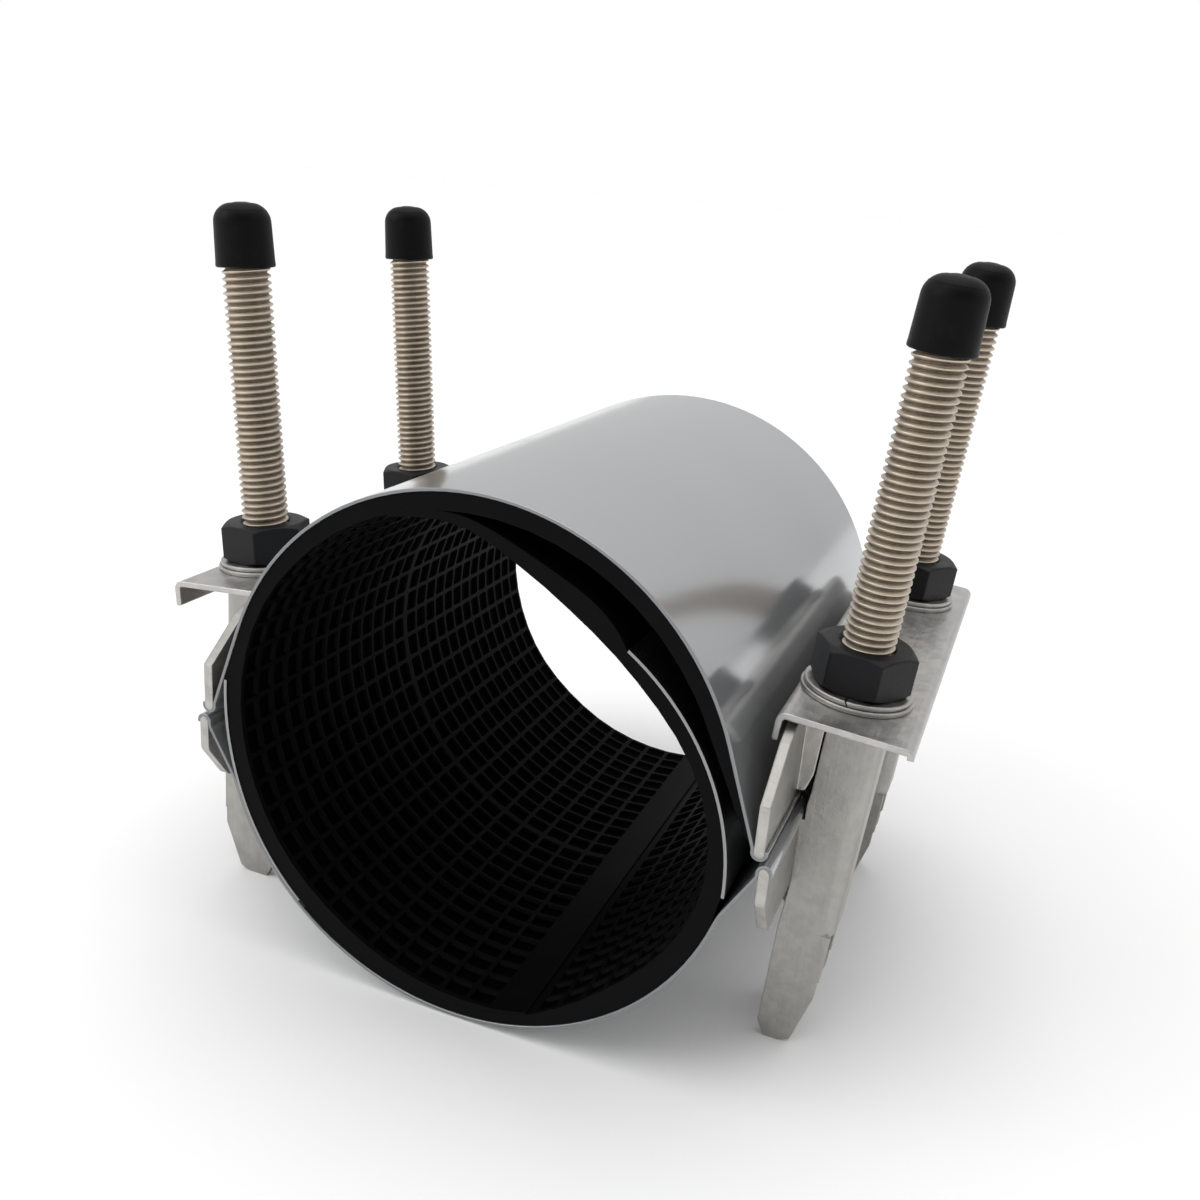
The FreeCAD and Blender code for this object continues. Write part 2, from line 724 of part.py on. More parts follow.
def upper_mat(leave, corner, thin_in, middle, step):
    """Upper mat: thins out to the right hook, and its tail lies in the lower half on the left."""
    zc = upper_centre_z
    r = upper_inner_r
    run_start = polar(leave, r, zc)
    down = (corner - run_start).normalize()
    right_end = corner - down * 3.0
    blunt = xz(right_end.x - 0.7, right_end.z - 0.9)
    full = polar(mat_full_angle, seat_r)
    bow, under, plate_top = left_bow(slip + bridge_thick)
    plate_out = left_bow(slip)[2]
    left_run = xz(-run_start.x, run_start.z)
    left_end = left_run + Vector(-down.x, 0, down.z) * ((left_run.z - plate_out.z) / -down.z)
    edges = [line(right_end, run_start), arc(run_start, polar(90, r, zc), left_run),
             line(left_run, left_end), line(left_end, plate_out), line(plate_out, plate_top)]
    edges += bow
    away = slip
    shrink = [thin_in, middle, step]
    centre = xz(0, lower_centre_z)
    inside = [p - (p - centre).normalize() * away for p in shrink]
    tip_out = polar(step_angle - 0.6, inside[2].Length - 0.02)
    edges.append(line(under, inside[0]))
    edges.append(arc(inside[0], inside[1], tip_out))
    edges.append(line(tip_out, places(upper_inner)[-1]))
    inner_edges = [spline(places(reversed(upper_inner))),
                   arc(places(upper_inner)[0], polar(80, seat_r), full)]
    edges += inner_edges
    edges.append(line(full, blunt))
    edges.append(line(blunt, right_end))
    solid = along_y(face_of(edges), -half_length + mat_inset, mat_length)
    return sunk_cells(solid, inner_edges, *upper_cells)


upper_edges, leave_angle, upper_corner = upper_shell_half()
lower_edges, lower_start = lower_shell_half()
save("upper_shell", shell(upper_edges, 1))
save("lower_shell", shell(lower_edges, -1))

plate, plate_inner, bow, bow_low, bow_high = bridge_right()
save("bridge_plate_right", plate)
save("bridge_plate_left", bridge_left())
rubber, thin_in, middle, step = lower_mat(lower_start, plate_inner, bow, bow_low, bow_high)
save("lower_gasket", rubber)
save("upper_gasket", upper_mat(leave_angle, upper_corner, thin_in, middle, step))

high_lug = upper_lug()
low_lug = lower_lug()
brackets = {"right": bracket(0.0), "left": bracket(left_web_spread)}
one_stud = stud()
one_cap = cap()
one_washer = washer(washer_d, bar_top)
other_washer = washer(upper_washer_d, bar_top + washer_thick)
for side, sign in sides.items():
    save(f"upper_lug_{side}", high_lug, sign)
    save(f"lower_lug_{side}", low_lug, sign)
    save(f"receiver_bar_{side}", bar(sign < 0), sign)
    for end, way in ends.items():
        place = f"{side}_{end}"
        shift = Vector(0, way * stud_y, 0)
        pieces = {"stud_bracket": brackets[side], "stud": one_stud, "stud_cap": one_cap,
                  "flat_washer": one_washer, "top_washer": other_washer,
                  "nut": nut(nut_turn[place])}
        for name, shape in pieces.items():
            moved = shape.copy()
            moved.translate(shift)
            save(f"{name}_{place}", moved, sign)
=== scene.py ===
import bmesh
import bpy
import json
import math
from mathutils import Matrix, Vector


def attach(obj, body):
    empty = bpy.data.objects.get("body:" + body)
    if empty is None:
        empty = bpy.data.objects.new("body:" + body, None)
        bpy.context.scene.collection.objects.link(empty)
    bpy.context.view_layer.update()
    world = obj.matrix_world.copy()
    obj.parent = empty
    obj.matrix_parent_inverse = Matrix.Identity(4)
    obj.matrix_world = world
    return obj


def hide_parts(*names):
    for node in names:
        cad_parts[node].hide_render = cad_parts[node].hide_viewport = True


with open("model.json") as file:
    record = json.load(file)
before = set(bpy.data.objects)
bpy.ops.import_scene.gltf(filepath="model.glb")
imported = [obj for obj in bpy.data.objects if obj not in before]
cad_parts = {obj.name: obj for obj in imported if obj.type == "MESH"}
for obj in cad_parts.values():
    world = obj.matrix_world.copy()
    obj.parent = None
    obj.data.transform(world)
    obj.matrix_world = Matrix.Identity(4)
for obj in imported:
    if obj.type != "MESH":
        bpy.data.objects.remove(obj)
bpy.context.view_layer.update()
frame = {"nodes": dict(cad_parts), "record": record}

# Looks of a two-half stainless pipe repair clamp, in metres, in the frame of the CAD part.
# The pipe runs along Y, +Z is up, "right" is +X and "near" is -Y. Heights on a stud are
# measured along it, from the pipe axis's level. All studs are 5/8-11 UNC.

MM = 0.001
LEAN = math.radians(4.33)
STUD_X = 103.0 * MM
STUD_Y = 52.9 * MM
INCH = 25.4 * MM
PITCH = INCH / 11
STUD_R = 7.9375 * MM
THREAD_DEPTH = 1.2 * MM
STUD_LOW, STUD_HIGH = -42.0 * MM, 152.7 * MM
STUD_CHAMFER = 1.2 * MM
THREAD_GAP = 0.06 * MM
BAR_TOP = 32.8 * MM
WASHER_THICK = 1.6 * MM
WASHER_HOLE_R = 8.5 * MM
NUT_FLATS, NUT_HEIGHT = 27.0 * MM, 13.2 * MM
NUT_TURN = {"right_near": 56.0, "right_far": 56.0, "left_near": 9.5, "left_far": 8.0}
SPLIT_TURN = {"right_near": -92.0, "right_far": 160.0, "left_near": 205.0, "left_far": 30.0}
CAP_MOUTH, CAP_TOP = 135.4 * MM, 156.0 * MM
CAP_GAP = 0.05 * MM
CELL_ROUND, CELL_ROWS = 9.3 * MM, 26
RIB = 1.3 * MM
CELL_DEPTH = 1.1 * MM
EASED = {"lug": 0.4 * MM, "bar": 0.35 * MM, "bracket": 0.2 * MM}
FLOOR_Z = -88.0 * MM
SIDES = {"right": 1, "left": -1}
ENDS = {"near": -1, "far": 1}

body_of_node = {}
for body, nodes in frame["record"]["behaviour"]["bodies"].items():
    for node in nodes:
        body_of_node[node] = body


# Shader arithmetic

class Wire:
    """A shader socket that takes part in arithmetic: each operation adds its Math node."""

    def __init__(self, finish, socket):
        self.finish = finish
        self.socket = socket

    def maths(self, operation, *values, clamp=False):
        settings = {"operation": operation, "use_clamp": clamp}
        return self.finish.node("ShaderNodeMath", settings, dict(enumerate(values)))

    def __add__(self, other):
        return self.maths("ADD", self, other)

    def __radd__(self, other):
        return self.maths("ADD", other, self)

    def __sub__(self, other):
        return self.maths("SUBTRACT", self, other)

    def __rsub__(self, other):
        return self.maths("SUBTRACT", other, self)

    def __mul__(self, other):
        return self.maths("MULTIPLY", self, other)

    def __rmul__(self, other):
        return self.maths("MULTIPLY", other, self)

    def clamped(self):
        return self.maths("ADD", self, 0.0, clamp=True)


def socket_name(word):
    return word.replace("_", " ").title().replace("Ior", "IOR")


class Finish:
    """One procedural material, built round a Principled shader."""

    def __init__(self, name, **fixed):
        self.material = bpy.data.materials.new(name)
        self.material.use_nodes = True
        self.tree = self.material.node_tree
        self.tree.nodes.clear()
        self.shader = self.tree.nodes.new("ShaderNodeBsdfPrincipled")
        self.output = self.tree.nodes.new("ShaderNodeOutputMaterial")
        self.tree.links.new(self.shader.outputs[0], self.output.inputs["Surface"])
        for label, value in fixed.items():
            self.shader.inputs[socket_name(label)].default_value = value

    def node(self, kind, settings=None, sockets=None, out=0):
        """Adds a node: its settings first, then the values or links of its sockets."""
        made = self.tree.nodes.new(kind)
        for key, value in (settings or {}).items():
            if key == "stops":
                ramp = made.color_ramp
                while len(ramp.elements) < len(value):
                    ramp.elements.new(1.0)
                for stop, (at, colour) in zip(ramp.elements, value):
                    stop.position = at
                    stop.color = colour
            else:
                setattr(made, key, value)
        for key, value in (sockets or {}).items():
            if isinstance(value, Wire):
                self.tree.links.new(value.socket, made.inputs[key])
            else:
                made.inputs[key].default_value = value
        return Wire(self, made.outputs[out])

    def place(self, stretch=(1, 1, 1), turn=(0, 0, 0)):
        where = self.node("ShaderNodeTexCoord", out=3)
        return self.node("ShaderNodeMapping", None, {0: where, 2: turn, 3: stretch})

    def cloud(self, size, stretch=(1, 1, 1), detail=2.0, roughness=0.5, turn=(0, 0, 0)):
        """Noise with features of a size in metres, drawn out where stretch is under 1."""
        sockets = {"Vector": self.place(stretch, turn), "Scale": 1 / size, "Detail": detail,
                   "Roughness": roughness}
        return self.node("ShaderNodeTexNoise", None, sockets)

    def between(self, mask, low, high):
        """Colour between two, by a mask."""
        low, high = (c if isinstance(c, Wire) else (*c, 1) for c in (low, high))
        return self.node("ShaderNodeMix", {"data_type": "RGBA"}, {0: mask, 6: low, 7: high}, out=2)

    def step(self, mask, start, end):
        """0 below start, 1 above end, smooth between."""
        return self.node("ShaderNodeMapRange", {"interpolation_type": "SMOOTHSTEP"},
                         {0: mask, 1: start, 2: end, 3: 0.0, 4: 1.0})

    def corners(self, radius, gain=3.0):
        """1 on edges and 0 on flats, with the rounded normal that edges are given."""
        rounded = self.node("ShaderNodeBevel", {"samples": 6}, {"Radius": radius})
        true = self.node("ShaderNodeNewGeometry", out=1)
        same = self.node("ShaderNodeVectorMath", {"operation": "DOT_PRODUCT"},
                         {0: rounded, 1: true}, out=1)
        return ((1.0 - same) * gain).clamped(), rounded

    def facing_ends(self):
        """1 on faces that look along the pipe, such as a sheet's cut ends."""
        flat = self.node("ShaderNodeNewGeometry", out=3)
        along = self.node("ShaderNodeVectorMath", {"operation": "DOT_PRODUCT"},
                          {0: flat, 1: (0, 1, 0)}, out=1)
        return self.step(along.maths("ABSOLUTE", along), 0.5, 0.85)

    def relief(self, height, depth, normal=None):
        sockets = {"Height": height, "Distance": depth, "Strength": 1.0}
        if normal is not None:
            sockets["Normal"] = normal
        return self.node("ShaderNodeBump", None, sockets)

    def shade_apart(self, mask, tone, specular):
        """Where the mask is 1, a second shader takes over, in one plain matt tone."""
        second = self.tree.nodes.new("ShaderNodeBsdfPrincipled")
        second.inputs["Base Color"].default_value = (*tone, 1)
        second.inputs["Roughness"].default_value = 0.8
        second.inputs["Specular IOR Level"].default_value = specular
        mixed = self.tree.nodes.new("ShaderNodeMixShader")
        self.tree.links.new(mask.socket, mixed.inputs[0])
        self.tree.links.new(self.shader.outputs[0], mixed.inputs[1])
        self.tree.links.new(second.outputs[0], mixed.inputs[2])
        self.tree.links.new(mixed.outputs[0], self.output.inputs["Surface"])

    def feed(self, **links):
        for label, value in links.items():
            self.tree.links.new(value.socket, self.shader.inputs[socket_name(label)])
        return self.material


def satin_sheet(name, tone, rough, grain_depth, haze=0.0):
    """Thin cold-rolled stainless: a hazy mirror, a faint grain round it and dull cut edges."""
    f = Finish(name, metallic=1.0 - haze)
    drift = f.cloud(0.06, detail=2.0)
    grain = f.cloud(0.0006, (0.02, 1.0, 0.02), detail=3.0)
    smudge = f.step(f.cloud(0.03, detail=4.0, roughness=0.62), 0.5, 0.75)
    cut = f.facing_ends()
    dark = tuple(0.5 * c for c in tone)
    mix = (0.85 + drift * 0.14 + grain * 0.06 - cut * 0.85).clamped()
    return f.feed(base_color=f.between(mix, dark, tone),
                  roughness=rough + drift * 0.04 + grain * 0.04 + smudge * 0.04 + cut * 0.3,
                  normal=f.relief(grain, grain_depth, f.relief(drift, 0.00002)))


def plate_steel(name, tone, stretch, rough=0.34, sheared=0.0):
    """Thicker stainless: a drawn grain, mottled scale, rubbed edges and brighter sheared ends."""
    f = Finish(name, metallic=1.0)
    grain = f.cloud(0.0007, stretch, detail=4.0, roughness=0.6)
    patch = f.step(f.cloud(0.0065, detail=5.0, roughness=0.65), 0.3, 0.7)
    scratch = f.step(f.cloud(0.0016, tuple(0.25 * s for s in stretch), detail=1.0,
                             turn=(0.3, 0.2, 0.1)), 0.62, 0.7)
    edge, rounded = f.corners(0.0007)
    dark = tuple(0.72 * c for c in tone)
    bright = tuple(min(1.0, 1.2 * c) for c in tone)
    mix = (grain * 0.5 + patch * 0.4 + scratch * 0.15 + edge * 0.7).clamped()
    colour = f.between(mix, dark, bright)
    if sheared:
        pale = tuple(min(1.0, (1 + sheared) * c) for c in bright)
        colour = f.between(f.facing_ends() * (0.4 + patch * 0.6), colour, pale)
    return f.feed(base_color=colour,
                  roughness=rough + grain * 0.14 + patch * 0.08 - edge * 0.12,
                  normal=f.relief(grain, 0.00004, f.relief(patch, 0.00010, rounded)))


def thread_metal():
    """Warm nickel-toned thread, with painted shade that darkens its colour towards each thread
    root.
    """
    f = Finish("warm_nickel_thread", metallic=1.0)
    root = f.node("ShaderNodeAttribute", {"attribute_name": "thread_root"}, out=2)
    speck = f.cloud(0.0016, detail=4.0, roughness=0.65)
    film = f.cloud(0.012, detail=2.0)
    # Painted shade in the thread roots: the colour darkens with the cube of the root depth.
    root_shade = root * root * root
    mask = (1.0 - root_shade * 0.85 + (speck - 0.5) * 0.5 + (film - 0.5) * 0.3).clamped()
    return f.feed(base_color=f.between(mask, (0.11, 0.087, 0.065), (0.57, 0.5, 0.415)),
                  roughness=0.27 + root * 0.2 + speck * 0.12,
                  normal=f.relief(speck, 0.00003))


def black_coating():
    """Thick low-gloss black coating on the nuts, with soft orange peel and rubbed corners."""
    f = Finish("black_nut_coating", specular_ior_level=0.22)
    peel = f.cloud(0.0011, detail=2.0)
    film = f.cloud(0.006, detail=3.0)
    edge, rounded = f.corners(0.0009, 2.0)
    mix = (film * 0.35 + edge * 0.8).clamped()
    return f.feed(base_color=f.between(mix, (0.0018, 0.002, 0.0028), (0.012, 0.013, 0.0165)),
                  roughness=0.34 + film * 0.14 + peel * 0.06,
                  normal=f.relief(peel, 0.00005, rounded))


def cap_vinyl():
    """Soft dipped vinyl: matt black with a fine skin and a little dust."""
    f = Finish("black_cap_vinyl", specular_ior_level=0.12)
    skin = f.cloud(0.0007, detail=3.0)
    dust = f.step(f.cloud(0.005, detail=5.0, roughness=0.7), 0.52, 0.8)
    return f.feed(base_color=f.between(dust, (0.0012, 0.0011, 0.0014), (0.005, 0.005, 0.0056)),
                  roughness=0.42 + skin * 0.1 + dust * 0.1,
                  normal=f.relief(skin, 0.00006))


def mat_rubber():
    """Moulded nitrile rubber with a faint bloom, painted shade that makes the cell floors near
    black, and painted highlight on the rib edges.
    """
    f = Finish("black_mat_rubber", specular_ior_level=0.035)
    tooth = f.cloud(0.0008, detail=3.0)
    bloom = f.cloud(0.018, detail=4.0, roughness=0.6)
    sunk = f.node("ShaderNodeAttribute", {"attribute_name": "cell_floor"}, out=2)
    edge, rounded = f.corners(0.0005, 2.0)
    # Painted shade: the sunk cell floors get a second, near-black shader.
    f.shade_apart(sunk, (0.0006, 0.0006, 0.0007), 0.02)
    # Painted highlight: the edge mask lightens the rib edges.
    mix = (0.2 + f.step(bloom, 0.45, 0.8) * 0.25 + edge * 0.25 + f.facing_ends() * 0.55).clamped()
    return f.feed(base_color=f.between(mix, (0.0009, 0.0009, 0.0011), (0.006, 0.006, 0.0068)),
                  roughness=0.42 + tooth * 0.12 + bloom * 0.1,
                  normal=f.relief(tooth, 0.00005, rounded))


def pale_floor():
    """Matt off-white studio floor."""
    f = Finish("pale_floor", roughness=0.9, specular_ior_level=0.1)
    wash = f.cloud(0.6, detail=1.0)
    return f.feed(base_color=f.between(wash, (0.92, 0.92, 0.92), (0.94, 0.94, 0.94)))


# Modelling

def let_go():
    """Nothing selected, in object mode."""
    if bpy.context.object and bpy.context.object.mode != "OBJECT":
        bpy.ops.object.mode_set(mode="OBJECT")
    bpy.ops.object.select_all(action="DESELECT")


def take(piece):
    """One object selected and active."""
    let_go()
    bpy.context.view_layer.objects.active = piece
    piece.select_set(True)


def start(name, mesh):
    """New object at the origin, selected."""
    piece = bpy.data.objects.new(name, mesh)
    bpy.context.collection.objects.link(piece)
    take(piece)
    return piece


def edit(select="SELECT", mode="VERT"):
    """Edit mode, with all or none of the mesh selected."""
    bpy.ops.object.mode_set(mode="EDIT")
    bpy.ops.mesh.select_mode(type=mode)
    bpy.ops.mesh.select_all(action=select)


def leave():
    bpy.ops.object.mode_set(mode="OBJECT")


def finish_with(piece, kind, **settings):
    """Adds a modifier and applies it."""
    take(piece)
    modifier = piece.modifiers.new(kind.lower(), kind)
    for key, value in settings.items():
        setattr(modifier, key, value)
    bpy.ops.object.modifier_apply(modifier=modifier.name)


def chain(name, points):
    """Open line of edges through points (x, z) in the XZ plane."""
    mesh = bpy.data.meshes.new(name)
    edges = [(i, i + 1) for i in range(len(points) - 1)]
    mesh.from_pydata([(x, 0, z) for x, z in points], edges, [])
    return start(name, mesh)


def tidy_surface():
    """In edit mode: doubles merged and faces turned outwards."""
    bpy.ops.mesh.select_all(action="SELECT")
    bpy.ops.mesh.remove_doubles(threshold=1e-6)
    bpy.ops.mesh.normals_make_consistent(inside=False)


def turned(name, points, steps):
    """Solid turned on the Z axis from a profile of points (radius, height)."""
    piece = chain(name, points)
    edit()
    bpy.ops.mesh.spin(steps=steps, angle=2 * math.pi, center=(0, 0, 0), axis=(0, 0, 1))
    tidy_surface()
    leave()
    return piece


def soften(piece, width, segments=2, angle=30.0):
    """Bevels the edges that are sharper than an angle in degrees."""
    finish_with(piece, "BEVEL", width=width, segments=segments, limit_method="ANGLE",
                angle_limit=math.radians(angle), use_clamp_overlap=True)


def smooth(piece, angle):
    """Smooth over gentle edges, with the flats kept flat."""
    take(piece)
    bpy.ops.object.shade_smooth_by_angle(angle=math.radians(angle))
    finish_with(piece, "WEIGHTED_NORMAL", weight=80, keep_sharp=True)


def combine(piece, other, operation):
    """Cuts, joins or keeps the common part, then removes the second solid."""
    finish_with(piece, "BOOLEAN", operation=operation, object=other, solver="EXACT")
    bpy.data.objects.remove(other, do_unlink=True)


def finished(piece, material, body, replaced=()):
    """Gives a piece its finish, its body and the nodes that it stands for."""
    piece.data.materials.clear()
    piece.data.materials.append(material)
    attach(piece, body)
    if replaced:
        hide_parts(*replaced)
    return piece


def on_stud(pattern, name, side, end, turn=0.0):
    """Own copy of an upright piece, leaned and set on one of the four studs."""
    piece = start(name, pattern.data.copy())
    piece.matrix_world = (Matrix.Translation((SIDES[side] * STUD_X, ENDS[end] * STUD_Y, 0))
                          @ Matrix.Rotation(SIDES[side] * LEAN, 4, "Y")
                          @ Matrix.Rotation(math.radians(turn), 4, "Z"))
    bpy.ops.object.transform_apply(location=True, rotation=True, scale=True)
    return piece


def dressed(node, material, slot):
    """A node's own copy: triangles joined, flats made whole and edges softened."""
    piece = start(f"{node}_dressed", frame["nodes"][node].data.copy())
    edit()
    bpy.ops.mesh.remove_doubles(threshold=2e-6)
    bpy.ops.mesh.dissolve_limited(angle_limit=math.radians(0.3))
    leave()
    soften(piece, EASED[slot], 2, 40.0)
    smooth(piece, 50.0)
    return finished(piece, material, body_of_node[node], [node])


# Fasteners

def stud_pattern():
    """Threaded rod, upright: one thread form carried round and up, then cut to a chamfered rod."""
    root = STUD_R - THREAD_DEPTH
    fillet, shoulder = root + 0.08 * MM, STUD_R - 0.14 * MM
    form = [(root, 0.0), (fillet, 0.14), (shoulder, 0.39), (STUD_R, 0.45),
            (STUD_R, 0.61), (shoulder, 0.67), (fillet, 0.92), (root, 1.0)]
    low = STUD_LOW - 2 * PITCH
    turns = math.ceil((STUD_HIGH - low) / PITCH) + 2
    rod = chain("stud_pattern", [(r, low + share * PITCH) for r, share in form])
    finish_with(rod, "SCREW", angle=2 * math.pi, screw_offset=PITCH, iterations=turns, steps=26,
                render_steps=26, use_merge_vertices=True, merge_threshold=1e-6,
                use_smooth_shade=True)
    edit()
    tidy_surface()
    for height, way in ((STUD_LOW, -1), (STUD_HIGH, 1)):
        bpy.ops.mesh.select_all(action="SELECT")
        bpy.ops.mesh.bisect(plane_co=(0, 0, height), plane_no=(0, 0, way), use_fill=True,
                            clear_outer=True)
    tidy_surface()
    leave()
    past = 0.1 * MM
    thin, wide = STUD_R - STUD_CHAMFER - past, STUD_R + past
    blank = turned("stud_blank", [(0, STUD_LOW - past), (thin, STUD_LOW - past),
                                  (wide, STUD_LOW + STUD_CHAMFER),
                                  (wide, STUD_HIGH - STUD_CHAMFER),
                                  (thin, STUD_HIGH + past), (0, STUD_HIGH + past)], 48)
    combine(rod, blank, "INTERSECT")
    smooth(rod, 50.0)
    depth = rod.data.attributes.new("thread_root", "FLOAT", "POINT")
    values = []
    for vertex in rod.data.vertices:
        radius = math.hypot(vertex.co.x, vertex.co.y)
        values.append(min(1.0, max(0.0, (STUD_R - radius) / THREAD_DEPTH)))
    depth.data.foreach_set("value", values)
    return rod


def nut_pattern():
    """Heavy hexagon nut, upright on its seat: corners turned off, bore countersunk, edges soft."""
    low = BAR_TOP + 2 * WASHER_THICK
    top = low + NUT_HEIGHT
    across = NUT_FLATS / math.sqrt(3)
    let_go()
    bpy.ops.mesh.primitive_cylinder_add(vertices=6, radius=across, depth=NUT_HEIGHT + 2 * MM,
                                        location=(0, 0, low + NUT_HEIGHT / 2),
                                        rotation=(0, 0, math.radians(30)))
    nut = bpy.context.object
    nut.name = "nut_pattern"
    bpy.ops.object.transform_apply(location=True, rotation=True, scale=True)
    face_r = NUT_FLATS / 2 - 0.35 * MM
    corner_angle = math.radians(28)
    rise = (across + MM - face_r) * math.tan(corner_angle)
    turned_off = turned("nut_blank", [(0, low), (face_r, low), (across + MM, low + rise),
                                      (across + MM, top - rise), (face_r, top), (0, top)], 96)
    # The hexagon is longer than the blank, and the blank's facets are turned by a quarter of a
    # facet, so that no face or edge of one lies in the other and the cut is the same each run.
    turned_off.rotation_euler.z = 2 * math.pi / 96 / 4
    bpy.ops.object.transform_apply(location=True, rotation=True, scale=True)
    combine(nut, turned_off, "INTERSECT")
    bore = STUD_R + THREAD_GAP
    sink = 0.9 * MM
    drill = turned("nut_drill", [(0, low - MM), (bore + sink + MM, low - MM), (bore, low + sink),
                                 (bore, top - sink), (bore + sink + MM, top + MM),
                                 (0, top + MM)], 64)
    combine(nut, drill, "DIFFERENCE")
    soften(nut, 0.45 * MM, 3, 25.0)
    smooth(nut, 60.0)
    return nut


def washer_ring(name, low, outer, r):
    """Plain ring on a level, with its outer edges and its upper inner edge eased by r."""
    inner, high = WASHER_HOLE_R, low + WASHER_THICK
    return turned(name, [(inner, low), (outer - r, low), (outer, low + r), (outer, high - r),
                         (outer - r, high), (inner + r, high), (inner, high - r),
                         (inner, low)], 96)


def flat_washer_pattern():
    """Flat washer, upright on the bar."""
    washer = washer_ring("flat_washer_pattern", BAR_TOP, 17.0 * MM, 0.25 * MM)
    smooth(washer, 50.0)
    return washer


def split_washer_pattern():
    """Spring washer: a flat ring cut through, its two ends standing a hair apart."""
    low = BAR_TOP + WASHER_THICK
    ring = washer_ring("split_washer_pattern", low, 16.3 * MM, 0.3 * MM)
    slit, slant = 0.4 * MM, 0.5
    let_go()
    bpy.ops.mesh.primitive_cube_add(size=1, location=(12.5 * MM, 0, low + WASHER_THICK / 2),
                                    rotation=(slant, 0, 0), scale=(10 * MM, slit, 8 * MM))
    saw = bpy.context.object
    bpy.ops.object.transform_apply(location=True, rotation=True, scale=True)
    combine(ring, saw, "DIFFERENCE")
    smooth(ring, 50.0)
    return ring


def cap_pattern():
    """Dipped vinyl cap: slight draft, a soft bead at the mouth and a domed top."""
    bore = STUD_R + CAP_GAP
    outer, top_r = 9.7 * MM, 9.25 * MM
    roof = CAP_TOP - 2.6 * MM
    profile = [(0, roof), (bore, roof), (bore, CAP_MOUTH), (outer - 0.45 * MM, CAP_MOUTH),
               (outer - 0.1 * MM, CAP_MOUTH + 0.25 * MM), (outer, CAP_MOUTH + 0.7 * MM),
               (outer - 0.12 * MM, CAP_MOUTH + 2.0 * MM)]
    dome = 6.2 * MM
    for i in range(11):
        a = math.radians(9 * i)
        profile.append((top_r - dome + dome * math.cos(a), CAP_TOP - dome - 0.3 * MM
                        + dome * math.sin(a)))
    profile += [(1.5 * MM, CAP_TOP), (0, CAP_TOP)]
    cap = turned("cap_pattern", profile, 72)
    smooth(cap, 50.0)
    return cap


# Rubber mats

def section(node):
    """The node's cross-section at its near end: points (x, z) in order round it."""
    shape = bmesh.new()
    shape.from_mesh(frame["nodes"][node].data)
    bmesh.ops.remove_doubles(shape, verts=shape.verts, dist=2e-6)
    near = min(v.co.y for v in shape.verts)
    follows = {}
    for edge in shape.edges:
        a, b = edge.verts
        if max(a.co.y, b.co.y) > near + 1e-6:
            continue
        if any(abs(face.normal.y) < 0.5 for face in edge.link_faces):
            follows.setdefault(a.index, []).append(b)
            follows.setdefault(b.index, []).append(a)
    shape.verts.ensure_lookup_table()
    first = shape.verts[next(iter(follows))]
    loop = [first]
    seen = {first.index}
    while True:
        ahead = [v for v in follows[loop[-1].index] if v.index not in seen]
        if not ahead:
            break
        loop.append(ahead[0])
        seen.add(ahead[0].index)
    points = [Vector((v.co.x, v.co.z)) for v in loop]
    length = max(v.co.y for v in shape.verts) - near
    shape.free()
    return points, near, length


def drawn(name, loop, near, steps):
    """Solid drawn along Y from a closed section, in one strip for each step."""
    mesh = bpy.data.meshes.new(name)
    edges = [(i, (i + 1) % len(loop)) for i in range(len(loop))]
    mesh.from_pydata([(p.x, near, p.y) for p in loop], edges, [])
    piece = start(name, mesh)
    edit()
    bpy.ops.mesh.edge_face_add()
    bpy.ops.mesh.select_all(action="SELECT")
    for step in steps:
        bpy.ops.mesh.extrude_region_move(TRANSFORM_OT_translate={"value": (0, step, 0)})
    bpy.ops.mesh.select_all(action="SELECT")
    bpy.ops.mesh.normals_make_consistent(inside=False)
    leave()
    return piece


def sheet_piece(node, material, grooved=False):
    """Bent sheet from its own end section, its edges eased, grooved where the studs pass."""
    loop, near, length = section(node)
    rim, parts = 0.5 * MM, 8
    part = (length - 2 * rim) / parts
    piece = drawn(f"{node}_sheet", loop, near, [rim] + [part] * parts + [rim])
    soften(piece, 0.2 * MM, 2, 50.0)
    if grooved:
        radius = STUD_R + 0.6 * MM
        blank = turned("groove", [(0, STUD_LOW), (radius, STUD_LOW), (radius, BAR_TOP),
                                  (0, BAR_TOP)], 64)
        for side in SIDES:
            for end in ENDS:
                combine(piece, on_stud(blank, "groove_here", side, end), "DIFFERENCE")
        bpy.data.objects.remove(blank, do_unlink=True)
    smooth(piece, 50.0)
    return finished(piece, material, body_of_node[node], [node])


def direction(angle, radius):
    a = math.radians(angle)
    return Vector((radius * math.cos(a), radius * math.sin(a)))


def inner_path(points, first, last):
    """The stretch of the outline that faces the bore, and the rest of it, in order."""
    count = len(points)
    i = min(range(count), key=lambda k: (points[k] - first).length)
    j = min(range(count), key=lambda k: (points[k] - last).length)
    forward = [points[(i + k) % count] for k in range((j - i) % count + 1)]
    back = [points[(i - k) % count] for k in range((i - j) % count + 1)]
    one, other = sorted((forward, back), key=lambda p: sum(v.length for v in p) / len(p))
    return one, other


def resampled(path, gaps):
    """Points along a path at the given gaps, which are scaled to fit its length."""
    total = sum((b - a).length for a, b in zip(path, path[1:]))
    scale = total / sum(gaps)
    wanted = [0.0]
    for gap in gaps:
        wanted.append(wanted[-1] + gap * scale)
    points = []
    run, k = 0.0, 0
    for goal in wanted:
        while k < len(path) - 2 and run + (path[k + 1] - path[k]).length < goal - 1e-9:
            run += (path[k + 1] - path[k]).length
            k += 1
        step = (path[k + 1] - path[k]).length
        points.append(path[k].lerp(path[k + 1], min(1.0, (goal - run) / step)))
    return points


